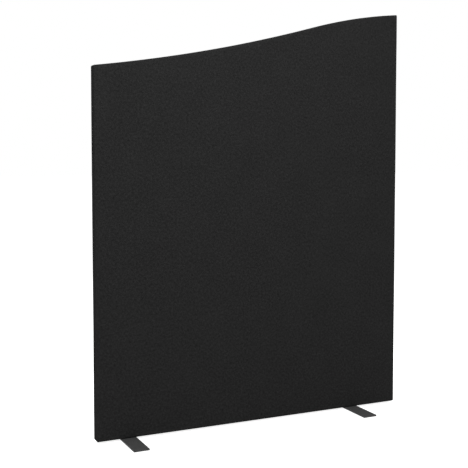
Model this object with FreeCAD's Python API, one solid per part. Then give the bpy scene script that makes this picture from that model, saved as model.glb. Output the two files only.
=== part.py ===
import FreeCAD, Part
import math
import os

# Partition screen: a fabric-wrapped panel with a wave top, standing on two flat bar feet.
# Lengths are millimetres. X runs along the panel, -Y is the front and Z is up.
# The origin is on the floor, below the middle of the panel.

# Panel outline
panel_width = 1200.0
panel_height = 1500.0
wave_height = 242.0
wave_turn_width_share = 0.689
wave_turn_rise_share = 0.708
wave_steepness_share = 1.42
corner_ease = 1.0

# Panel layers
panel_thickness = 40.0
fabric_thickness = 0.8
padding_thickness = 3.2
board_thickness = 3.0
padding_lap = 6.0
padding_trim = 2.0
seam_inset = 2.0

# Timber frame and the infill in its four bays
bottom_rail_height = 70.0
top_rail_depth = 60.0
stile_width = 45.0
cross_rail_width = 45.0
cross_rail_height_share = 0.5
infill_clearance = 0.3

# Dowels that join the frame
dowel_diameter = 8.0
dowel_length = 40.0
dowel_spacing = 24.0
dowel_chamfer = 1.0
dowel_play = 0.15
dowel_end_play = 0.5

# Cover edges below the panel, the strip over them and its staples
turn_under = 14.0
strip_width = 24.0
strip_thickness = 0.6
strip_end_inset = 6.0
staple_crown = 10.0
staple_leg = 8.0
staple_wire_width = 1.0
staple_wire_thickness = 0.6
staple_pitch = 80.0
staple_foot_clearance = 8.0

# Feet
foot_width = 55.0
foot_length = 300.0
foot_thickness = 5.0
foot_corner_radius = 2.0
foot_edge_chamfer = 0.5
left_foot_inset = 85.0
right_foot_inset = 168.0

# Pads under the feet
pad_width = 45.0
pad_length = 25.0
pad_thickness = 1.5
pad_corner_radius = 3.0
pad_end_inset = 10.0

# Countersunk foot bolts and the threaded inserts that hold them
bolt_diameter = 6.0
bolt_length = 20.0
bolt_head_diameter = 12.0
bolt_spacing = 30.0
bolt_tip_chamfer = 0.8
bolt_hole_clearance = 0.3
head_clearance = 0.2
socket_across_flats = 4.0
socket_depth = 2.0
insert_diameter = 10.0
insert_length = 15.0
insert_play = 0.15
thread_play = 0.15

# Longer than any overlap that a cutting tool needs
overrun = 5.0

# Levels and half sizes that follow
half_width = panel_width / 2
half_thickness = panel_thickness / 2
layer_depth = fabric_thickness + padding_thickness
corner_radius = layer_depth + corner_ease
core_half = half_thickness - layer_depth
frame_half = core_half - board_thickness
core_side = half_width - layer_depth
corner_x = half_width - corner_radius
foot_top = pad_thickness + foot_thickness
seam_y = core_half - seam_inset
lap_y = core_half - padding_lap
cover_bottom = foot_top + strip_thickness
frame_bottom = cover_bottom + fabric_thickness
padding_bottom = frame_bottom + padding_trim
bottom_rail_top = frame_bottom + bottom_rail_height
high_end_height = cover_bottom + panel_height
low_end_height = high_end_height - wave_height
top_rail_bottom = low_end_height - layer_depth - top_rail_depth

# The wave is two arcs that meet, on one tangent, at the turn
turn_x = panel_width * wave_turn_width_share - half_width
turn_z = low_end_height + wave_height * wave_turn_rise_share
turn_slope = math.atan(wave_steepness_share * wave_height / panel_width)


def point(x, z, y=0.0):
    return FreeCAD.Vector(x, y, z)


def box(x_low, x_high, y_low, y_high, z_low, z_high):
    corner = FreeCAD.Vector(x_low, y_low, z_low)
    return Part.makeBox(x_high - x_low, y_high - y_low, z_high - z_low, corner)


def wave_circle(end_x, end_z):
    """Centre and signed radius of the arc from the turn to one end; it is positive below its centre."""
    run = end_x - turn_x
    climb = end_z - turn_z
    rise_off_tangent = climb * math.cos(turn_slope) - run * math.sin(turn_slope)
    radius = (run ** 2 + climb ** 2) / (2 * rise_off_tangent)
    centre_x = turn_x - radius * math.sin(turn_slope)
    centre_z = turn_z + radius * math.cos(turn_slope)
    return centre_x, centre_z, radius


left_circle = wave_circle(-half_width, low_end_height)
right_circle = wave_circle(half_width, high_end_height)


def wave_point(circle, x, inset):
    """Point at x on the wave's arc, moved into the panel by the inset."""
    centre_x, centre_z, radius = circle
    reach = math.sqrt((radius + inset) ** 2 - (x - centre_x) ** 2)
    return point(x, centre_z - math.copysign(reach, radius))


def wave_normal(circle, place):
    """Unit vector that points up out of the wave at a place on it."""
    centre_x, centre_z, radius = circle
    away = place - point(centre_x, centre_z)
    away.normalize()
    return away * -math.copysign(1, radius)


def corner_centre(circle, side):
    """Centre of the round at a top corner, common to all the layers; side is -1 or 1."""
    return wave_point(circle, side * corner_x, corner_radius)


def rounded_corner(centre, radius, first, last):
    """Arc about the centre from one outward direction to another."""
    middle = first + last
    middle.normalize()
    ends = centre + first * radius, centre + middle * radius, centre + last * radius
    return Part.Arc(*ends).toShape()


def outline(inset, bottom):
    """Closed outline of the panel, moved in by the inset, with its own lower edge."""
    radius = corner_radius - inset
    left, right, up, down = point(-1, 0), point(1, 0), point(0, 1), point(0, -1)
    low_left = point(-corner_x, bottom + radius)
    low_right = point(corner_x, bottom + radius)
    top_left = corner_centre(left_circle, -1)
    top_right = corner_centre(right_circle, 1)
    left_up = wave_normal(left_circle, top_left)
    right_up = wave_normal(right_circle, top_right)
    wave_start = top_left + left_up * radius
    wave_end = top_right + right_up * radius
    turn = wave_point(left_circle, turn_x + inset * math.sin(turn_slope), inset)
    left_middle = wave_point(left_circle, (wave_start.x + turn.x) / 2, inset)
    right_middle = wave_point(right_circle, (turn.x + wave_end.x) / 2, inset)
    edges = [
        Part.LineSegment(low_right + down * radius, low_left + down * radius).toShape(),
        rounded_corner(low_left, radius, down, left),
        Part.LineSegment(low_left + left * radius, top_left + left * radius).toShape(),
        rounded_corner(top_left, radius, left, left_up),
        Part.Arc(wave_start, left_middle, turn).toShape(),
        Part.Arc(turn, right_middle, wave_end).toShape(),
        rounded_corner(top_right, radius, right_up, right),
        Part.LineSegment(top_right + right * radius, low_right + right * radius).toShape(),
        rounded_corner(low_right, radius, right, down),
    ]
    return Part.Wire(edges)


def slab(inset, bottom, y_low, y_high):
    """The outline as a plate between two depths."""
    face = Part.Face(outline(inset, bottom))
    face.translate(FreeCAD.Vector(0, y_low, 0))
    return face.extrude(FreeCAD.Vector(0, y_high - y_low, 0))


def soft_block(inset, bottom):
    """The panel moved in by the inset, its arrises as round as the layers still outside the boards."""
    half = half_thickness - inset
    block = slab(inset, bottom, -half, half)
    arrises = [edge for edge in block.Edges if edge.BoundBox.YLength < half]
    return block.makeFillet(layer_depth - inset, arrises)


outer_block = soft_block(0, cover_bottom)
fabric_inner_block = soft_block(fabric_thickness, frame_bottom)
core_block = slab(layer_depth, frame_bottom, -core_half, core_half)
frame_block = slab(layer_depth, frame_bottom, -frame_half, frame_half)


def foot_centres():
    left = left_foot_inset + foot_width / 2 - half_width
    right = half_width - right_foot_inset - foot_width / 2
    return {"left": left, "right": right}


def bolt_places(foot_x):
    return [foot_x - bolt_spacing / 2, foot_x + bolt_spacing / 2]


def cylinder(radius, length, x, z):
    """Upright cylinder on the panel's middle plane."""
    return Part.makeCylinder(radius, length, point(x, z))


def dowel_places():
    """Middle and direction of every dowel, each across one joint of the frame."""
    up = point(0, 1)
    along = point(1, 0)
    across = [-dowel_spacing / 2, dowel_spacing / 2]
    places = []
    for stile_x in stile_centres():
        for level in (bottom_rail_top, top_rail_bottom):
            places += [(point(stile_x + step, level), up) for step in across]
    for stile_low, stile_high in bay_spans():
        for joint_x in (stile_low, stile_high):
            places += [(point(joint_x, cross_rail_z() + step), along) for step in across]
    return places


def stile_centres():
    edge_centre = core_side - stile_width / 2
    return [-edge_centre, 0.0, edge_centre]


def bay_spans():
    """Left and right limits of the two columns of bays."""
    inner = stile_width / 2
    outer = core_side - stile_width
    return [(-outer, -inner), (inner, outer)]


def cross_rail_z():
    return bottom_rail_top + (top_rail_bottom - bottom_rail_top) * cross_rail_height_share


def dowel_hole(middle, direction):
    length = dowel_length + 2 * dowel_end_play
    return Part.makeCylinder(dowel_diameter / 2 + dowel_play, length, middle - direction * (length / 2), direction)


def dowel(middle, direction):
    start = middle - direction * (dowel_length / 2)
    peg = Part.makeCylinder(dowel_diameter / 2, dowel_length, start, direction)
    rims = [edge for edge in peg.Edges if edge.Closed]
    return peg.makeChamfer(dowel_chamfer, rims)


def frame_members():
    """Rails, stiles and cross rails, each a solid, before holes."""
    span = half_width + overrun
    depth = frame_half + overrun
    top = high_end_height + overrun
    low_half = box(-span, span, -depth, depth, 0, bottom_rail_top)
    high_half = box(-span, span, -depth, depth, top_rail_bottom, top)
    members = {
        "bottom_rail": frame_block.common(low_half),
        "wave_top_rail": frame_block.common(high_half),
    }
    for name, x in zip(("left_stile", "centre_stile", "right_stile"), stile_centres()):
        x_low = x - stile_width / 2
        x_high = x + stile_width / 2
        members[name] = box(x_low, x_high, -frame_half, frame_half, bottom_rail_top, top_rail_bottom)
    z_low = cross_rail_z() - cross_rail_width / 2
    for name, (x_low, x_high) in zip(("left_cross_rail", "right_cross_rail"), bay_spans()):
        members[name] = box(x_low, x_high, -frame_half, frame_half, z_low, z_low + cross_rail_width)
    return members


def infill_slabs():
    """Four slabs that fill the bays, a little clear of the timber all round."""
    gap = infill_clearance
    depth = frame_half - gap
    rail_half = cross_rail_width / 2
    levels = {
        "lower": (bottom_rail_top, cross_rail_z() - rail_half),
        "upper": (cross_rail_z() + rail_half, top_rail_bottom),
    }
    slabs = {}
    for level, (z_low, z_high) in levels.items():
        for side, (x_low, x_high) in zip(("left", "right"), bay_spans()):
            name = level + "_" + side + "_infill"
            slabs[name] = box(x_low + gap, x_high - gap, -depth, depth, z_low + gap, z_high - gap)
    return slabs


def facing_boards():
    return {
        "front_facing_board": slab(layer_depth, frame_bottom, -core_half, -frame_half),
        "rear_facing_board": slab(layer_depth, frame_bottom, frame_half, core_half),
    }


def paddings():
    """Wadding under the fabric: two face sheets, folded round the arrises, and three edge strips."""
    span = half_width + overrun
    depth = half_thickness + overrun
    top = high_end_height + overrun
    trimmed_off = box(-span, span, -depth, depth, 0, padding_bottom)
    wadding = fabric_inner_block.cut([core_block, trimmed_off])
    front = box(-span, span, -depth, -lap_y, 0, top)
    rear = box(-span, span, lap_y, depth, 0, top)
    left = box(-span, -corner_x, -lap_y, lap_y, 0, corner_centre(left_circle, -1).z)
    right = box(corner_x, span, -lap_y, lap_y, 0, corner_centre(right_circle, 1).z)
    return {
        "front_padding": wadding.common(front),
        "rear_padding": wadding.common(rear),
        "left_edge_padding": wadding.common(left),
        "right_edge_padding": wadding.common(right),
        "top_edge_padding": wadding.cut([front, rear, left, right]),
    }


def covers():
    """Front cover, wrapped over the ends and the top, and rear cover, sewn to it by the rear arris."""
    span = half_width + overrun
    depth = half_thickness + overrun
    top = high_end_height + overrun
    opening_x = half_width - turn_under
    opening_y = half_thickness - turn_under
    opening = box(-opening_x, opening_x, -opening_y, opening_y, 0, frame_bottom)
    skin = outer_block.cut([fabric_inner_block, opening])
    behind_seam = box(-span, span, seam_y, depth, 0, top)
    rear_turn_under = box(-opening_x, opening_x, opening_y, seam_y, 0, frame_bottom)
    rear_share = behind_seam.fuse(rear_turn_under)
    return {"front_cover": skin.cut(rear_share), "rear_cover": skin.common(rear_share)}


def bottom_strip():
    """Tape over the raw edges of both covers, with holes for the foot bolts."""
    reach = half_width - strip_end_inset
    strip = box(-reach, reach, -strip_width / 2, strip_width / 2, foot_top, cover_bottom)
    radius = bolt_diameter / 2 + bolt_hole_clearance
    bolts = [x for foot_x in foot_centres().values() for x in bolt_places(foot_x)]
    return strip.cut([cylinder(radius, foot_top + overrun, x, 0) for x in bolts])


def staple(x, y):
    """One staple, driven up through strip, cover and bottom rail."""
    half_crown = staple_crown / 2
    y_low = y - staple_wire_width / 2
    y_high = y + staple_wire_width / 2
    crown = box(x - half_crown, x + half_crown, y_low, y_high, foot_top - staple_wire_thickness, foot_top)
    leg_top = foot_top + staple_leg
    left_leg_x = x - half_crown + staple_wire_thickness
    right_leg_x = x + half_crown - staple_wire_thickness
    left_leg = box(x - half_crown, left_leg_x, y_low, y_high, foot_top, leg_top)
    right_leg = box(right_leg_x, x + half_crown, y_low, y_high, foot_top, leg_top)
    return crown.fuse([left_leg, right_leg]).removeSplitter()


def staples():
    """Two rows, one through each cover's turned edge, left out where the feet lie."""
    row_y = (half_thickness - turn_under + strip_width / 2) / 2
    reach = half_width - turn_under - staple_crown
    steps = int(2 * reach // staple_pitch)
    start = -steps * staple_pitch / 2
    clear = foot_width / 2 + staple_crown / 2 + staple_foot_clearance
    rows = []
    for step in range(steps + 1):
        x = start + step * staple_pitch
        if min(abs(x - foot_x) for foot_x in foot_centres().values()) > clear:
            rows += [staple(x, -row_y), staple(x, row_y)]
    return rows


def eased_plate(x, y, width, length, z_low, z_high, radius):
    """Flat plate, centred at x and y, with rounded upright corners."""
    plate = box(x - width / 2, x + width / 2, y - length / 2, y + length / 2, z_low, z_high)
    uprights = [edge for edge in plate.Edges if edge.BoundBox.ZLength > (z_high - z_low) / 2]
    return plate.makeFillet(radius, uprights)


def bolt_hole(x):
    """Clearance hole and countersink for one bolt, through a foot plate."""
    shank = bolt_diameter / 2
    head = bolt_head_diameter / 2
    sink_depth = head - shank
    sink = Part.makeCone(head + head_clearance, shank + head_clearance, sink_depth, point(x, pad_thickness))
    hole = cylinder(shank + bolt_hole_clearance, foot_thickness, x, pad_thickness)
    return hole.fuse(sink)


def foot_plate(foot_x):
    plate = eased_plate(foot_x, 0, foot_width, foot_length, pad_thickness, foot_top, foot_corner_radius)
    rim_level = foot_top - foot_edge_chamfer
    top_rim = [edge for edge in plate.Edges if edge.BoundBox.ZMin > rim_level]
    plate = plate.makeChamfer(foot_edge_chamfer, top_rim)
    return plate.cut([bolt_hole(x) for x in bolt_places(foot_x)])


def foot_pads(foot_x):
    """A pad near each end of one foot."""
    reach = foot_length / 2 - pad_end_inset - pad_length / 2
    ends = (-reach, reach)
    return [eased_plate(foot_x, y, pad_width, pad_length, 0, pad_thickness, pad_corner_radius) for y in ends]


def hex_socket(x):
    """Hexagonal recess in a bolt's head, seen from below."""
    radius = socket_across_flats / math.sqrt(3)
    angles = [math.radians(60 * step) for step in range(7)]
    corners = [point(x + radius * math.cos(a), pad_thickness, radius * math.sin(a)) for a in angles]
    return Part.Face(Part.makePolygon(corners)).extrude(point(0, socket_depth))


def foot_bolt(x):
    """Countersunk socket bolt, its head flush with the underside of the plate."""
    shank = bolt_diameter / 2
    head = bolt_head_diameter / 2
    head_depth = head - shank
    cone = Part.makeCone(head, shank, head_depth, point(x, pad_thickness))
    tip_z = pad_thickness + bolt_length - bolt_tip_chamfer
    neck_z = pad_thickness + head_depth
    rod = cylinder(shank, tip_z - neck_z, x, neck_z)
    tip = Part.makeCone(shank, shank - bolt_tip_chamfer, bolt_tip_chamfer, point(x, tip_z))
    return cone.fuse([rod, tip]).removeSplitter().cut(hex_socket(x))


def insert_pocket(x):
    return cylinder(insert_diameter / 2 + insert_play, insert_length + insert_play, x, frame_bottom)


def threaded_insert(x):
    """Sleeve in the bottom rail that takes one bolt."""
    sleeve = cylinder(insert_diameter / 2, insert_length, x, frame_bottom)
    return sleeve.cut(cylinder(bolt_diameter / 2 + thread_play, insert_length, x, frame_bottom))


def build():
    """Every piece of the screen, by node name."""
    nodes = frame_members()
    holes = [dowel_hole(*place) for place in dowel_places()]
    for name in nodes:
        nodes[name] = nodes[name].cut(holes)
    nodes["frame_dowels"] = Part.makeCompound([dowel(*place) for place in dowel_places()])
    nodes.update(infill_slabs())
    nodes.update(facing_boards())
    nodes.update(paddings())
    nodes.update(covers())
    nodes["bottom_strip"] = bottom_strip()
    pins = staples()
    for name in ("front_cover", "rear_cover", "bottom_strip", "bottom_rail"):
        nodes[name] = nodes[name].cut(pins)
    nodes["cover_staples"] = Part.makeCompound(pins)
    for side, foot_x in foot_centres().items():
        places = bolt_places(foot_x)
        nodes["bottom_rail"] = nodes["bottom_rail"].cut([insert_pocket(x) for x in places])
        nodes[side + "_foot_inserts"] = Part.makeCompound([threaded_insert(x) for x in places])
        nodes[side + "_foot_plate"] = foot_plate(foot_x)
        nodes[side + "_foot_bolts"] = Part.makeCompound([foot_bolt(x) for x in places])
        nodes[side + "_foot_pads"] = Part.makeCompound(foot_pads(foot_x))
    return nodes


os.makedirs("parts", exist_ok=True)
for node_name, shape in build().items():
    if isinstance(shape, Part.Compound) and len(shape.Solids) == 1:
        shape = shape.Solids[0]
    shape.exportStep("parts/" + node_name + ".step")
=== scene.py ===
import math
import bpy
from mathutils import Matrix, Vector, noise


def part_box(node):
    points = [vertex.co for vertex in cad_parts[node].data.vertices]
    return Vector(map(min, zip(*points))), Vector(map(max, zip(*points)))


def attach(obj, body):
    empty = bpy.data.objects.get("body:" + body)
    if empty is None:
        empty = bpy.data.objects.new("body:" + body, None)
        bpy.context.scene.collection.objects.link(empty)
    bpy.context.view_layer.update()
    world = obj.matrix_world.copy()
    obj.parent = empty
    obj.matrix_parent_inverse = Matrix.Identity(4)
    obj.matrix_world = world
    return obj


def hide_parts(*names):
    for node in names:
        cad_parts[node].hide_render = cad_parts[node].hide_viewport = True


# Partition screen with a wave top: cloth covers, wadding, infill and tape modelled over the CAD frame.
# Lengths are metres, in the CAD frame: X along the panel, -Y the front, Z up.
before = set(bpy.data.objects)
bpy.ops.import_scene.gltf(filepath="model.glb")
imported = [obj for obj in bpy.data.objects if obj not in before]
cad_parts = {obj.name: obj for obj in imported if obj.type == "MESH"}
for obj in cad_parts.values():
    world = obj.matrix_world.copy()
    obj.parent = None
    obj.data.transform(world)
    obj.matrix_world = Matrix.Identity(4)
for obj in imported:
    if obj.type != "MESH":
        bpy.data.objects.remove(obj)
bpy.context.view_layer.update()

# Panel, as the CAD nodes have it
COVER_LOW, COVER_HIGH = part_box("front_cover")
HALF_WIDTH = COVER_HIGH.x
HALF_THICKNESS = -COVER_LOW.y
COVER_BOTTOM = COVER_LOW.z
ARRIS = 0.004
CORE_X = HALF_WIDTH - ARRIS
CORE_Y = HALF_THICKNESS - ARRIS
CORE_BOTTOM = COVER_BOTTOM + ARRIS

# Wave of the top edge: two arcs that share a tangent at the turn
PANEL_HEIGHT = 1.5
WAVE_HEIGHT = 0.242
TURN_WIDTH_SHARE = 0.689
TURN_RISE_SHARE = 0.708
STEEPNESS_SHARE = 1.42
HIGH_END = COVER_BOTTOM + PANEL_HEIGHT
LOW_END = HIGH_END - WAVE_HEIGHT
TURN_X = 2 * HALF_WIDTH * TURN_WIDTH_SHARE - HALF_WIDTH
TURN_Z = LOW_END + WAVE_HEIGHT * TURN_RISE_SHARE
TURN_SLOPE = math.atan(STEEPNESS_SHARE * WAVE_HEIGHT / (2 * HALF_WIDTH))

# Layers over the boards, as depths below the outside
CLOTH_THICKNESS = 0.0008
WADDING_OUTSIDE = 0.00095
WADDING_INSIDE = 0.00395

# Where the cloth ends and the wadding laps
TURN_UNDER = 0.014
TURN_UNDER_X = HALF_WIDTH - TURN_UNDER
TURN_UNDER_Y = HALF_THICKNESS - TURN_UNDER
SEAM_Y = 0.014
WADDING_LAP_Y = 0.010

# Slow rises of the stretched cloth; the offsets keep the faces, ends and top from rising alike
SLACK = 0.00035
SLACK_LENGTH = 0.22
SLACK_OFFSET = 3
FINE_SLACK = SLACK * 0.35
FINE_SLACK_LENGTH = SLACK_LENGTH / 4
FINE_SLACK_OFFSET = 7

# Seam groove, corner creases and the pull of the staples
SEAM_DIP = 0.0013
SEAM_REACH = 0.0007
STITCH_PITCH = 0.0034
CORNER_DIP = 0.0006
CORNER_SHARPNESS = 0.3
PULL = 0.0005
PULL_REACH = 0.018
PULL_HEIGHT = 4 * PULL_REACH
STAPLE_PITCH = 0.08

# Parts of the outward direction: its Y where the faces end, and its Z from which the underside is flat
OFF_FACE = 0.9
UNDERSIDE_FADE = 0.3

# Lattices
COVER_STEP = 0.010
WADDING_STEP = 0.020
WOOL_STEP = 0.014
LAP_STEP = 0.002
UNDERSIDE_STEP = 0.003
BEFORE_SEAM_Y = 0.012
SEAM_STEPS = (0.0002, 0.0005, 0.0008, 0.0012)
ROUND_ANGLES = (15, 30, 45)

# Feet
FOOT_X = [sum(corner.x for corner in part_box(side + "_foot_plate")) / 2 for side in ("left", "right")]
BOLT_SPACING = 0.030


# Shape helpers

def spread(low, high, step):
    """Even places from low to high, about a step apart."""
    count = max(1, round((high - low) / step))
    return [low + (high - low) * i / count for i in range(count + 1)]


def round_steps(radius):
    """How far past its core a lattice goes over a rounded edge, at equal steps of angle."""
    return [radius * math.tan(math.radians(angle)) for angle in ROUND_ANGLES]


def rounded_cuts(low, high, radius, inner):
    """Inner places of a lattice with those over its rounded edges, below low and above high."""
    past = round_steps(radius)
    return [low - p for p in reversed(past)] + sorted(inner) + [high + p for p in past]


def wave_circle(end_x, end_z):
    """Centre and signed radius of the arc from the turn to one end; it is positive below its centre."""
    run = end_x - TURN_X
    climb = end_z - TURN_Z
    off_tangent = climb * math.cos(TURN_SLOPE) - run * math.sin(TURN_SLOPE)
    radius = (run ** 2 + climb ** 2) / (2 * off_tangent)
    return TURN_X - radius * math.sin(TURN_SLOPE), TURN_Z + radius * math.cos(TURN_SLOPE), radius


LEFT_CIRCLE = wave_circle(-HALF_WIDTH, LOW_END)
RIGHT_CIRCLE = wave_circle(HALF_WIDTH, HIGH_END)


def crest(x, inset):
    """Height of the wave at x, moved into the panel by the inset, and its upward direction."""
    centre_x, centre_z, radius = LEFT_CIRCLE if x < TURN_X else RIGHT_CIRCLE
    side = math.copysign(1, radius)
    reach = math.sqrt((radius + inset) ** 2 - (x - centre_x) ** 2)
    z = centre_z - side * reach
    return z, Vector((x - centre_x, 0, z - centre_z)).normalized() * -side


def skin_point(x, y, share, beyond):
    """Centre of the roundness below a lattice point, and the direction out of it."""
    base_x = min(max(x, -CORE_X), CORE_X)
    base_y = min(max(y, -CORE_Y), CORE_Y)
    top, up = crest(base_x, ARRIS)
    if beyond < 0:
        up = Vector((0, 0, 1))
    base = Vector((base_x, base_y, CORE_BOTTOM + (top - CORE_BOTTOM) * share))
    out = Vector((x - base_x, y - base_y, 0)) + up * beyond
    return base, out.normalized()


def unevenness(place, out):
    """How far the cloth stands off its even shape; it lies flat on the rail below."""
    rise = SLACK * noise.noise(place / SLACK_LENGTH + out * SLACK_OFFSET)
    rise += FINE_SLACK * noise.noise(place / FINE_SLACK_LENGTH + out * FINE_SLACK_OFFSET)
    if abs(out.y) < OFF_FACE:
        rise -= SEAM_DIP * math.exp(-((place.y - SEAM_Y) / SEAM_REACH) ** 2)
    if out.z > 0 and abs(out.x) > 0:
        rise -= CORNER_DIP * math.exp(-((abs(out.x) - out.z) / CORNER_SHARPNESS) ** 2)
    height = place.z - COVER_BOTTOM
    if height < PULL_HEIGHT:
        near_staple = 0.5 * (1 + math.cos(2 * math.pi * place.x / STAPLE_PITCH))
        rise -= PULL * near_staple * math.exp(-height / PULL_REACH) * abs(out.y)
    return rise * min(1.0, (1 + out.z) / UNDERSIDE_FADE)


def box_quad(axis, end, i, j):
    """One quad on a side of a box of lattice points, as four index triples."""
    first, second = [other for other in range(3) if other != axis]
    corners = []
    for step_i, step_j in ((0, 0), (1, 0), (1, 1), (0, 1)):
        corner = [end, end, end]
        corner[first] = i + step_i
        corner[second] = j + step_j
        corners.append(tuple(corner))
    return corners


def box_quads(cuts):
    """All quads on the outside of a box of lattice points, wound so that they face out."""
    sizes = [len(places) - 1 for places in cuts]
    for axis in range(3):
        across, along = [sizes[other] for other in range(3) if other != axis]
        for end in (0, sizes[axis]):
            turned = (end > 0) == (axis == 1)
            for i in range(across):
                for j in range(along):
                    quad = box_quad(axis, end, i, j)
                    yield quad[::-1] if turned else quad


def new_object(name, data):
    made = bpy.data.objects.new(name, data)
    bpy.context.scene.collection.objects.link(made)
    return made


def new_piece(name, points, faces):
    mesh = bpy.data.meshes.new(name)
    mesh.from_pydata(points, [], faces)
    mesh.validate()
    mesh.shade_smooth()
    return new_object(name, mesh)


def shell(name, outside, inside, quads):
    """Closed piece between two sheets of points that share their quads."""
    edges = {}
    for quad in quads:
        for edge in zip(quad, quad[1:] + quad[:1]):
            edges[edge] = True
    rims = [(b, a) for a, b in edges if (b, a) not in edges]
    used = sorted({key for quad in quads for key in quad})
    order = {key: number for number, key in enumerate(used)}
    count = len(used)
    points = [outside(key) for key in used] + [inside(key) for key in used]
    faces = [[order[key] for key in quad] for quad in quads]
    faces += [[order[key] + count for key in reversed(quad)] for quad in quads]
    faces += [(order[a], order[b], order[b] + count, order[a] + count) for a, b in rims]
    return new_piece(name, points, faces)


class Lattice:
    """The panel's surface as the outside of a box of lattice points, close together at the arrises."""

    def __init__(self, step):
        inner_x = spread(-CORE_X, CORE_X, step) + [-TURN_UNDER_X, TURN_UNDER_X]
        self.x = rounded_cuts(-CORE_X, CORE_X, ARRIS, inner_x)
        inner_y = spread(-CORE_Y, -WADDING_LAP_Y, LAP_STEP)
        inner_y += spread(-TURN_UNDER_Y, TURN_UNDER_Y, UNDERSIDE_STEP)
        inner_y += [WADDING_LAP_Y, BEFORE_SEAM_Y, SEAM_Y, CORE_Y]
        inner_y += [SEAM_Y + side * off for off in SEAM_STEPS for side in (-1, 1)]
        self.y = rounded_cuts(-CORE_Y, CORE_Y, ARRIS, inner_y)
        past = round_steps(ARRIS)
        levels = [(share, 0) for share in spread(0, 1, step / HIGH_END)]
        self.z = [(0, -p) for p in reversed(past)] + levels + [(1, p) for p in past]

    def place(self, corner, inset):
        """Place of a lattice point on the panel, that far below the outside."""
        share, beyond = self.z[corner[2]]
        base, out = skin_point(self.x[corner[0]], self.y[corner[1]], share, beyond)
        even = base + out * ARRIS
        keep = 1 - inset / ARRIS
        return base + out * (ARRIS - inset + unevenness(even, out) * keep)

    def middle(self, quad):
        """Middle of a quad: x, y, its share of the height, and how far it lies past the core, up or down."""
        x = sum(self.x[corner[0]] for corner in quad) / 4
        y = sum(self.y[corner[1]] for corner in quad) / 4
        share = sum(self.z[corner[2]][0] for corner in quad) / 4
        beyond = sum(self.z[corner[2]][1] for corner in quad) / 4
        return x, y, share, beyond

    def piece(self, name, kept, outer, inner):
        """Closed piece between two insets, of the quads whose middle is kept."""
        quads = [quad for quad in box_quads((self.x, self.y, self.z)) if kept(*self.middle(quad))]
        return shell(name, lambda key: self.place(key, outer), lambda key: self.place(key, inner), quads)


# Node helpers

def node(tree, kind, inputs=None, **settings):
    """New shader node; inputs are values or other nodes' sockets, by name or number."""
    made = tree.nodes.new("ShaderNode" + kind)
    for key, value in settings.items():
        setattr(made, key, value)
    for key, value in (inputs or {}).items():
        if isinstance(value, bpy.types.NodeSocket):
            tree.links.new(value, made.inputs[key])
        else:
            made.inputs[key].default_value = value
    return made


def math_node(tree, operation, first, second=0.0):
    return node(tree, "Math", {0: first, 1: second}, operation=operation).outputs[0]


def weighted(tree, *parts):
    """Sum of (socket, weight) parts."""
    total = math_node(tree, "MULTIPLY", *parts[0])
    for part in parts[1:]:
        total = math_node(tree, "ADD", total, math_node(tree, "MULTIPLY", *part))
    return total


def mixed(tree, factor, first, second):
    """Blend of two numbers."""
    return node(tree, "Mix", {0: factor, 2: first, 3: second}, data_type="FLOAT").outputs[0]


def fading(tree, distance, start, end, most=1.0):
    """Falls from its most, at the start distance, to nothing at the end."""
    return node(tree, "MapRange", {0: distance, 1: start, 2: end, 3: most, 4: 0.0}).outputs[0]


def rgba(colour):
    """Colour with an alpha, from a grey or a colour."""
    if isinstance(colour, (int, float)):
        colour = (colour, colour, colour)
    return (*colour, 1.0)


def ramp(tree, factor, stops):
    """Colour ramp from (place, grey or colour) stops."""
    made = node(tree, "ValToRGB", {0: factor})
    band = made.color_ramp
    while len(band.elements) < len(stops):
        band.elements.new(1.0)
    for element, (place, colour) in zip(band.elements, stops):
        element.position = place
        element.color = rgba(colour)
    return made.outputs[0]


def noise_node(tree, where, scale, detail=3.0, roughness=0.5, distortion=0.0):
    inputs = {"Vector": where, "Scale": scale, "Detail": detail}
    inputs.update({"Roughness": roughness, "Distortion": distortion})
    return node(tree, "TexNoise", inputs).outputs[0]


def stretched(tree, where, scale):
    return node(tree, "Mapping", {"Vector": where, "Scale": scale}).outputs[0]


def new_material(name):
    """Material with its node tree, its surface shader and object coordinates."""
    material = bpy.data.materials.new(name)
    material.use_nodes = True
    tree = material.node_tree
    return material, tree, tree.nodes["Principled BSDF"], node(tree, "TexCoord").outputs["Object"]


def set_surface(tree, surface, colour, height, depth, **values):
    """Links colour and bump; values, named as the sockets with _ for a space, are linked or set."""
    tree.links.new(colour, surface.inputs["Base Color"])
    bump = node(tree, "Bump", {"Height": height, "Distance": depth, "Strength": 1.0})
    tree.links.new(bump.outputs[0], surface.inputs["Normal"])
    for key, value in values.items():
        socket = surface.inputs[key.replace("_", " ")]
        if isinstance(value, bpy.types.NodeSocket):
            tree.links.new(value, socket)
        else:
            socket.default_value = value


# Materials

WEAVE_PITCH = 0.0011
TAPE_WEAVE_PITCH = 0.0009
THREAD_WANDER = 0.0006
SIDEWAYS = 0.7
# Painted shade in the seam's groove: the distances over which it fades out, its strength and its near-black
# colour
SEAM_SHADE_FADE = (0.0002, 0.0010)
SEAM_SHADE_STRENGTH = 0.75
SEAM_SHADE_COLOUR = 0.002
PUCKER_REACH = 0.0040
TARNISH = 0.72


def thread_places(tree, where):
    """Coordinates across and along the threads, on the faces, the ends and the top alike."""
    facing = node(tree, "SeparateXYZ", {0: node(tree, "TexCoord").outputs["Normal"]})
    at = node(tree, "SeparateXYZ", {0: where})
    on_end = math_node(tree, "GREATER_THAN", math_node(tree, "ABSOLUTE", facing.outputs[0]), SIDEWAYS)
    on_top = math_node(tree, "GREATER_THAN", math_node(tree, "ABSOLUTE", facing.outputs[2]), SIDEWAYS)
    across = mixed(tree, on_end, at.outputs[0], at.outputs[1])
    along = mixed(tree, on_top, at.outputs[2], at.outputs[1])
    return across, along


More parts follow.
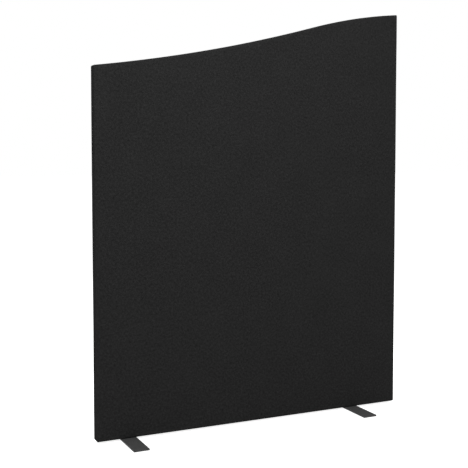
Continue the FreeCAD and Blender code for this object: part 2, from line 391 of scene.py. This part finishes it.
def weave_height(tree, across, along, pitch):
    """Plain weave: each cell shows the round back of either thread."""
    turns = math.pi / pitch
    crossing = math_node(tree, "SINE", math_node(tree, "MULTIPLY", across, turns))
    rising = math_node(tree, "SINE", math_node(tree, "MULTIPLY", along, turns))
    warp_up = math_node(tree, "GREATER_THAN", math_node(tree, "MULTIPLY", crossing, rising), 0.0)
    return mixed(tree, warp_up, math_node(tree, "ABSOLUTE", rising), math_node(tree, "ABSOLUTE", crossing))


def seam_nodes(tree, where):
    """Painted shade along the seam's groove, darkest on its line, and the puckers that its stitches pull."""
    at = node(tree, "SeparateXYZ", {0: where})
    off = math_node(tree, "ABSOLUTE", math_node(tree, "SUBTRACT", at.outputs[1], SEAM_Y))
    above = math_node(tree, "GREATER_THAN", at.outputs[2], CORE_BOTTOM)
    # painted shade: full within 0.2 mm of the seam's line, gone at 1 mm
    seam_shade = fading(tree, off, *SEAM_SHADE_FADE, SEAM_SHADE_STRENGTH)
    near = fading(tree, off, 0.0, PUCKER_REACH)
    run = math_node(tree, "ADD", at.outputs[0], at.outputs[2])
    puckers = math_node(tree, "SINE", math_node(tree, "MULTIPLY", run, 2 * math.pi / STITCH_PITCH))
    puckers = math_node(tree, "MULTIPLY", puckers, math_node(tree, "MULTIPLY", near, near))
    return math_node(tree, "MULTIPLY", seam_shade, above), math_node(tree, "MULTIPLY", puckers, above)


def cloth_material():
    """Near-black screen cloth: plain weave of uneven mixed yarns, puckered at the seam, with painted shade
    along its groove.
    """
    material, tree, surface, where = new_material("cover_cloth")
    across, along = thread_places(tree, where)
    flat = node(tree, "CombineXYZ", {0: across, 1: along}).outputs[0]
    wander = noise_node(tree, flat, scale=260.0, detail=2.0)
    across = math_node(tree, "ADD", across, math_node(tree, "MULTIPLY", wander, THREAD_WANDER))
    along = math_node(tree, "ADD", along, math_node(tree, "MULTIPLY", wander, THREAD_WANDER))
    weave = weave_height(tree, across, along, WEAVE_PITCH)
    weft_slubs = noise_node(tree, stretched(tree, flat, (90.0, 620.0, 1.0)), scale=1.0, detail=2.0)
    warp_slubs = noise_node(tree, stretched(tree, flat, (620.0, 90.0, 1.0)), scale=1.0, detail=2.0)
    slubs = math_node(tree, "ADD", weft_slubs, warp_slubs)
    mottle = noise_node(tree, flat, scale=135.0, detail=3.0, roughness=0.6)
    clouds = noise_node(tree, flat, scale=9.0, detail=2.0)
    tone = weighted(tree, (slubs, 0.35), (mottle, 0.5), (clouds, 0.08), (weave, 0.16))
    colour = ramp(tree, tone, [(0.456, 0.0108), (0.676, 0.0178), (0.896, 0.0317)])
    # Painted shade along the seam's groove, mixed over the cloth's colour
    seam_shade, puckers = seam_nodes(tree, where)
    colours = {0: seam_shade, 6: colour, 7: rgba(SEAM_SHADE_COLOUR)}
    colour = node(tree, "Mix", colours, data_type="RGBA").outputs[2]
    height = weighted(tree, (weave, 1.0), (slubs, 0.6), (puckers, 1.2))
    rough = ramp(tree, tone, [(0.456, 0.98), (0.896, 0.88)])
    set_surface(tree, surface, colour, height, depth=0.00025, Roughness=rough, Specular_IOR_Level=0.0)
    return material


def fibre_material(name, dark, light, scale):
    """Matted fibres, for wadding and wool."""
    material, tree, surface, where = new_material(name)
    tangle = noise_node(tree, where, scale, detail=6.0, roughness=0.7, distortion=1.5)
    upright = stretched(tree, where, (1.0, 1.0, 6.0))
    strands = noise_node(tree, upright, scale * 0.6, detail=3.0, roughness=0.6, distortion=2.5)
    both = weighted(tree, (tangle, 0.5), (strands, 0.5))
    colour = ramp(tree, both, [(0.35, dark), (0.65, light)])
    rough = ramp(tree, both, [(0.35, 1.0), (0.65, 0.92)])
    set_surface(tree, surface, colour, both, depth=0.0006, Roughness=rough, Specular_IOR_Level=0.1)
    return material


def tape_material():
    """Plain-woven black tape."""
    material, tree, surface, where = new_material("bottom_tape")
    at = node(tree, "SeparateXYZ", {0: where})
    weave = weave_height(tree, at.outputs[0], at.outputs[1], TAPE_WEAVE_PITCH)
    speckle = noise_node(tree, where, scale=900.0, detail=2.0)
    colour = ramp(tree, math_node(tree, "MULTIPLY", weave, speckle), [(0.08, 0.004), (0.5, 0.024)])
    rough = ramp(tree, weave, [(0.0, 0.92), (1.0, 0.8)])
    set_surface(tree, surface, colour, weave, depth=0.0003, Roughness=rough, Specular_IOR_Level=0.1)
    return material


def coated_steel_material():
    """Fine-textured dark coating on the feet, a little rubbed."""
    material, tree, surface, where = new_material("foot_coating")
    grain = noise_node(tree, where, scale=1400.0, detail=2.0, roughness=0.6)
    specks = noise_node(tree, where, scale=150.0, detail=3.0, roughness=0.7)
    patches = noise_node(tree, where, scale=28.0, detail=4.0, roughness=0.6)
    lengthwise = stretched(tree, where, (160.0, 22.0, 160.0))
    rubbed = noise_node(tree, lengthwise, scale=1.0, detail=4.0, roughness=0.7)
    tone = weighted(tree, (patches, 0.12), (rubbed, 0.18), (specks, 0.45), (grain, 0.25))
    colour = ramp(tree, tone, [(0.35, 0.037), (0.5, 0.053), (0.65, 0.074)])
    rough = ramp(tree, tone, [(0.3, 0.62), (0.7, 0.5)])
    set_surface(tree, surface, colour, grain, depth=0.00012, Roughness=rough, Specular_IOR_Level=0.2)
    return material


def bare_metal_material(name, colour, roughness, scratch_scale):
    """Plain or plated metal with fine drawn scratches and a little tarnish."""
    material, tree, surface, where = new_material(name)
    drawn = stretched(tree, where, (scratch_scale, scratch_scale, scratch_scale * 0.1))
    scratches = noise_node(tree, drawn, scale=1.0, detail=3.0, roughness=0.6)
    tarnish = noise_node(tree, where, scale=240.0, detail=4.0, roughness=0.6)
    dark = tuple(c * TARNISH for c in colour)
    shade = ramp(tree, tarnish, [(0.35, dark), (0.65, colour)])
    rough = ramp(tree, scratches, [(0.3, roughness * 0.8), (0.7, roughness * 1.25)])
    set_surface(tree, surface, shade, scratches, depth=0.00002, Roughness=rough, Metallic=1.0)
    return material


def rubber_material():
    """Black rubber, dusty in places."""
    material, tree, surface, where = new_material("pad_rubber")
    grain = noise_node(tree, where, scale=1800.0, detail=2.0)
    dust = noise_node(tree, where, scale=90.0, detail=4.0, roughness=0.7)
    colour = ramp(tree, dust, [(0.4, 0.012), (0.7, 0.024)])
    rough = ramp(tree, dust, [(0.4, 0.8), (0.7, 0.9)])
    set_surface(tree, surface, colour, grain, depth=0.0001, Roughness=rough, Specular_IOR_Level=0.3)
    return material


def timber_material(name, light, dark, grain_scale):
    """Softwood or dowel wood, its grain stretched one way."""
    material, tree, surface, where = new_material(name)
    long_way = stretched(tree, where, grain_scale)
    figure = noise_node(tree, long_way, scale=1.0, detail=4.0, roughness=0.55, distortion=1.2)
    pores = noise_node(tree, long_way, scale=9.0, detail=3.0, roughness=0.6)
    rings = math_node(tree, "FRACT", math_node(tree, "MULTIPLY", figure, 9.0))
    tone = weighted(tree, (rings, 0.7), (pores, 0.3))
    colour = ramp(tree, tone, [(0.1, light), (0.75, dark), (0.95, light)])
    rough = ramp(tree, tone, [(0.1, 0.65), (0.9, 0.75)])
    set_surface(tree, surface, colour, pores, depth=0.0002, Roughness=rough)
    return material


def board_material():
    """Hardboard of pressed brown fibres."""
    material, tree, surface, where = new_material("facing_board")
    flecks = noise_node(tree, where, scale=700.0, detail=4.0, roughness=0.7)
    clouds = noise_node(tree, where, scale=14.0, detail=3.0)
    tone = weighted(tree, (flecks, 0.7), (clouds, 0.3))
    colour = ramp(tree, tone, [(0.35, (0.16, 0.085, 0.042)), (0.65, (0.32, 0.19, 0.10))])
    rough = ramp(tree, tone, [(0.35, 0.7), (0.65, 0.8)])
    set_surface(tree, surface, colour, flecks, depth=0.0001, Roughness=rough)
    return material


CLOTH = cloth_material()
WADDING = fibre_material("white_wadding", 0.62, 0.84, scale=420.0)
WOOL = fibre_material("infill_wool", (0.16, 0.14, 0.10), (0.34, 0.31, 0.24), scale=260.0)
TAPE = tape_material()
COATING = coated_steel_material()
WIRE = bare_metal_material("staple_wire", (0.62, 0.62, 0.60), roughness=0.35, scratch_scale=2500.0)
BRASS = bare_metal_material("insert_metal", (0.68, 0.60, 0.38), roughness=0.4, scratch_scale=1800.0)
BLACKED = bare_metal_material("bolt_steel", (0.09, 0.09, 0.095), roughness=0.42, scratch_scale=1800.0)
RUBBER = rubber_material()
RAIL_TIMBER = timber_material("rail_timber", (0.62, 0.44, 0.25), (0.44, 0.27, 0.13), (3.0, 60.0, 60.0))
STILE_TIMBER = timber_material("stile_timber", (0.60, 0.43, 0.25), (0.43, 0.27, 0.13), (60.0, 60.0, 3.0))
DOWEL_WOOD = timber_material("dowel_wood", (0.66, 0.48, 0.31), (0.52, 0.35, 0.20), (90.0, 90.0, 90.0))
BOARD = board_material()

NODE_MATERIALS = {
    RAIL_TIMBER: ["bottom_rail", "wave_top_rail", "left_cross_rail", "right_cross_rail"],
    STILE_TIMBER: ["left_stile", "centre_stile", "right_stile"],
    DOWEL_WOOD: ["frame_dowels"],
    BOARD: ["front_facing_board", "rear_facing_board"],
    WIRE: ["cover_staples"],
    BRASS: ["left_foot_inserts", "right_foot_inserts"],
    COATING: ["left_foot_plate", "right_foot_plate"],
    BLACKED: ["left_foot_bolts", "right_foot_bolts"],
    RUBBER: ["left_foot_pads", "right_foot_pads"],
}


def finish_nodes():
    """Gives every CAD node that stays its material."""
    for material, names in NODE_MATERIALS.items():
        for name in names:
            for material_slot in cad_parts[name].material_slots:
                material_slot.material = material


def finish_piece(piece, material, slot, *nodes):
    """Material, body and the CAD nodes that a new piece stands for; the slot is not used."""
    piece.data.materials.append(material)
    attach(piece, "root")
    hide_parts(*nodes)


# Covers and wadding

def turned_under(x, y, beyond):
    """True on the underside, away from the ends, where the cloth stops short of the middle."""
    return beyond < 0 and abs(y) < CORE_Y and abs(x) < TURN_UNDER_X


def in_front_cover(x, y, share, beyond):
    """Front face, ends and top as far as the seam, and the edge turned under."""
    return y < (-TURN_UNDER_Y if turned_under(x, y, beyond) else SEAM_Y)


def in_rear_cover(x, y, share, beyond):
    """Rear face from the seam on, and the edge turned under."""
    return y > (TURN_UNDER_Y if turned_under(x, y, beyond) else SEAM_Y)


def in_wadding(side):
    """Face sheet of the wadding, folded round the arrises; side is -1 in front and 1 behind."""
    return lambda x, y, share, beyond: side * y > WADDING_LAP_Y and beyond >= 0


def in_edge_strip(end):
    """Strip of wadding on an end, -1 or 1, or on the top, 0."""
    def kept(x, y, share, beyond):
        if abs(y) > WADDING_LAP_Y:
            return False
        if end == 0:
            return beyond > 0
        return beyond == 0 and x * end > CORE_X
    return kept


def make_covers():
    lattice = Lattice(COVER_STEP)
    front = lattice.piece("front_fabric", in_front_cover, 0.0, CLOTH_THICKNESS)
    rear = lattice.piece("rear_fabric", in_rear_cover, 0.0, CLOTH_THICKNESS)
    finish_piece(front, CLOTH, "cover_fabric", "front_cover")
    finish_piece(rear, CLOTH, "cover_fabric", "rear_cover")
    return front, rear


def make_wadding():
    """Face sheets and edge strips, by the name of their place."""
    lattice = Lattice(WADDING_STEP)
    kept = {"front": in_wadding(-1), "rear": in_wadding(1)}
    kept.update(left_edge=in_edge_strip(-1), right_edge=in_edge_strip(1), top_edge=in_edge_strip(0))
    made = {}
    for name, in_sheet in kept.items():
        made[name] = lattice.piece(name + "_wadding", in_sheet, WADDING_OUTSIDE, WADDING_INSIDE)
        finish_piece(made[name], WADDING, "wadding", name + "_padding")
    return made


# Infill slabs

SLAB_ROUND = 0.006
SLAB_WAIST = 0.0012
SLAB_FUZZ = 0.0009
SLAB_FUZZ_LENGTH = 1 / 160
SLAB_EDGE_POWER = 6


def slab_point(low, high, place):
    """Place on a soft slab, with rounded arrises, crowned faces and sides drawn in between the corners."""
    base = Vector(min(max(place[a], low[a] + SLAB_ROUND), high[a] - SLAB_ROUND) for a in range(3))
    out = (place - base).normalized()
    middle = (low + high) / 2
    half = (high - low) / 2
    off = [abs(place[a] - middle[a]) / half[a] for a in (0, 2)]
    edge = max(off) ** SLAB_EDGE_POWER
    waist = SLAB_WAIST * (1 - min(off) ** 2) * edge
    thin = SLAB_WAIST * edge * abs(out.y)
    fuzz = SLAB_FUZZ * (0.5 + 0.5 * noise.noise(place / SLAB_FUZZ_LENGTH))
    return base + out * (SLAB_ROUND - waist * (1 - abs(out.y)) - thin - fuzz)


def soft_slab(name, low, high):
    """Closed slab with a lattice over all six faces."""
    cuts = []
    for axis in range(3):
        core_low = low[axis] + SLAB_ROUND
        core_high = high[axis] - SLAB_ROUND
        cuts.append(rounded_cuts(core_low, core_high, SLAB_ROUND, spread(core_low, core_high, WOOL_STEP)))
    numbers = {}
    faces = []
    for quad in box_quads(cuts):
        faces.append([numbers.setdefault(corner, len(numbers)) for corner in quad])
    places = [Vector(cuts[axis][corner[axis]] for axis in range(3)) for corner in numbers]
    return new_piece(name, [slab_point(low, high, place) for place in places], faces)


def make_infill():
    for level in ("lower", "upper"):
        for side in ("left", "right"):
            place_name = level + "_" + side
            slab = soft_slab(place_name + "_wool", *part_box(place_name + "_infill"))
            finish_piece(slab, WOOL, "infill_wool", place_name + "_infill")


# Tape below the panel

TAPE_PITCH = 0.003
TAPE_LONG_PITCH = 0.008
TAPE_ROWS = 4
HOLE_CELLS = 2
HOLE_RADIUS = 0.0033
TAPE_SAG = 0.0004
TAPE_HELD_REACH = 0.06


def tape_cuts(low_x, high_x, bolts):
    """Places along the tape, close together round each bolt."""
    cuts = [low_x]
    for bolt in bolts:
        near = [bolt + step * TAPE_PITCH for step in range(-HOLE_CELLS, HOLE_CELLS + 1)]
        cuts += spread(cuts[-1], near[0], TAPE_LONG_PITCH)[1:] + near[1:]
    return cuts + spread(cuts[-1], high_x, TAPE_LONG_PITCH)[1:]


def tape_quads(cuts, rows, bolts):
    """Quads of the tape, apart from those round a bolt."""
    reach = HOLE_CELLS * TAPE_PITCH
    quads = []
    for i in range(len(cuts) - 1):
        for j in range(len(rows) - 1):
            x = (cuts[i] + cuts[i + 1]) / 2
            y = (rows[j] + rows[j + 1]) / 2
            if abs(y) > reach or all(abs(x - bolt) > reach for bolt in bolts):
                quads.append([(i, j, 0), (i, j + 1, 0), (i + 1, j + 1, 0), (i + 1, j, 0)])
    return quads


def ring_round(column, row):
    """Lattice points of the square round a bolt, one after another."""
    steps = range(-HOLE_CELLS, HOLE_CELLS)
    ring = [(column + step, row - HOLE_CELLS) for step in steps]
    ring += [(column + HOLE_CELLS, row + step) for step in steps]
    ring += [(column - step, row + HOLE_CELLS) for step in steps]
    ring += [(column - HOLE_CELLS, row - step) for step in steps]
    return ring


def punched_hole(places, cuts, bolt):
    """Quads from the square round a bolt to its hole, whose points are added to the places."""
    column = min(range(len(cuts)), key=lambda i: abs(cuts[i] - bolt))
    ring = ring_round(column, TAPE_ROWS)
    for i, j in ring:
        x, y = places[i, j, 0]
        away = Vector((x - bolt, y)).normalized() * HOLE_RADIUS
        places[i, j, 1] = (bolt + away.x, away.y)
    return [[(*a, 0), (*a, 1), (*b, 1), (*b, 0)] for a, b in zip(ring, ring[1:] + ring[:1])]


def tape_sag(x):
    """How far the tape hangs between its staples; the feet hold it up."""
    free = min(1.0, min(abs(x - foot_x) for foot_x in FOOT_X) / TAPE_HELD_REACH) ** 2
    return TAPE_SAG * free * math.sin(math.pi * x / STAPLE_PITCH) ** 2


def make_tape():
    """Woven tape over the raw cloth edges, with a punched hole for each bolt."""
    low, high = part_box("bottom_strip")
    bolts = [x + side * BOLT_SPACING / 2 for x in FOOT_X for side in (-1, 1)]
    cuts = tape_cuts(low.x, high.x, bolts)
    rows = [step * TAPE_PITCH for step in range(-TAPE_ROWS, TAPE_ROWS + 1)]
    places = {(i, j, 0): (x, y) for i, x in enumerate(cuts) for j, y in enumerate(rows)}
    quads = tape_quads(cuts, rows, bolts)
    for bolt in bolts:
        quads += punched_hole(places, cuts, bolt)

    def below(key):
        x, y = places[key]
        return Vector((x, y, low.z - tape_sag(x)))

    def above(key):
        return below(key) + Vector((0, 0, high.z - low.z))

    tape = shell("bottom_tape", below, above, quads)
    finish_piece(tape, TAPE, "strip_tape", "bottom_strip")
    return tape


# Studio

FLOOR_REACH = 40.0
FLOOR_GREY = 0.55
FLOOR_GLOW = 0.86
WORLD_LIGHT = 0.50
FACE_LAMP = {"target": (0, 0, 1.0), "size": 1.6, "power": 76.0}
END_LAMP = {"target": (0, 0, 0.9), "size": 2.0, "power": 34.0}


def seen(tree):
    """1 for camera, glossy and transmission rays, and 0 for the rays that light the object."""
    path = node(tree, "LightPath")
    first = math_node(tree, "MAXIMUM", path.outputs["Is Camera Ray"], path.outputs["Is Glossy Ray"])
    return math_node(tree, "MAXIMUM", first, path.outputs["Is Transmission Ray"])


def make_floor():
    """Pale floor that clips to white in the picture and still takes the screen's shadow."""
    corners = [(FLOOR_REACH * x, FLOOR_REACH * y, 0) for x, y in ((-1, -1), (1, -1), (1, 1), (-1, 1))]
    floor = new_piece("studio_floor", corners, [(0, 1, 2, 3)])
    material = bpy.data.materials.new("studio_floor")
    material.use_nodes = True
    tree = material.node_tree
    tree.nodes.remove(tree.nodes["Principled BSDF"])
    matt = node(tree, "BsdfDiffuse", {"Color": rgba(FLOOR_GREY)})
    strength = math_node(tree, "MULTIPLY", seen(tree), FLOOR_GLOW)
    glow = node(tree, "Emission", {"Color": rgba(1.0), "Strength": strength})
    both = node(tree, "AddShader", {0: matt.outputs[0], 1: glow.outputs[0]})
    tree.links.new(both.outputs[0], tree.nodes["Material Output"].inputs[0])
    floor.data.materials.append(material)


def make_world():
    """White to the camera and in reflections, and a softer grey light on the object."""
    world = bpy.data.worlds.new("studio")
    bpy.context.scene.world = world
    world.use_nodes = True
    tree = world.node_tree
    background = tree.nodes["Background"]
    background.inputs["Color"].default_value = rgba(1.0)
    tree.links.new(mixed(tree, seen(tree), WORLD_LIGHT, 1.0), background.inputs["Strength"])


def make_lamp(name, place, target, size, power):
    """Square lamp that doesn't show in the picture or in reflections."""
    light = bpy.data.lights.new(name, "AREA")
    light.size = size
    light.energy = power
    lamp = new_object(name, light)
    lamp.location = place
    lamp.rotation_euler = (Vector(target) - Vector(place)).to_track_quat("-Z", "Y").to_euler()
    lamp.visible_camera = False
    lamp.visible_glossy = False


# Camera, fitted to the photo's outlines

CAMERA_PLACE = (-1.4331, -2.8503, 0.9646)
CAMERA_YAW = math.radians(25.334)
CAMERA_PITCH = math.radians(3.192)
CAMERA_LENS = 68.03
CAMERA_SHIFT = -0.06
SENSOR_WIDTH = 36.0


def make_camera():
    data = bpy.data.cameras.new("camera")
    data.sensor_width = SENSOR_WIDTH
    data.lens = CAMERA_LENS
    data.shift_y = CAMERA_SHIFT
    camera = new_object("camera", data)
    level = math.cos(CAMERA_PITCH)
    ahead = Vector((math.sin(CAMERA_YAW) * level, math.cos(CAMERA_YAW) * level, -math.sin(CAMERA_PITCH)))
    camera.location = CAMERA_PLACE
    camera.rotation_euler = ahead.to_track_quat("-Z", "Y").to_euler()
    bpy.context.scene.camera = camera


# The whole scene

finish_nodes()
covers = make_covers()
wadding = make_wadding()
make_infill()
tape = make_tape()
make_floor()
make_world()
make_lamp("key_light", (-0.5, -2.0, 3.05), **FACE_LAMP)
make_lamp("left_light", (-3.4, 0.6, 2.4), **END_LAMP)
make_lamp("right_light", (3.4, 0.6, 2.4), **END_LAMP)
make_lamp("rear_light", (0.5, 2.0, 3.05), **FACE_LAMP)
make_camera()
bpy.context.scene.view_settings.view_transform = "Standard"
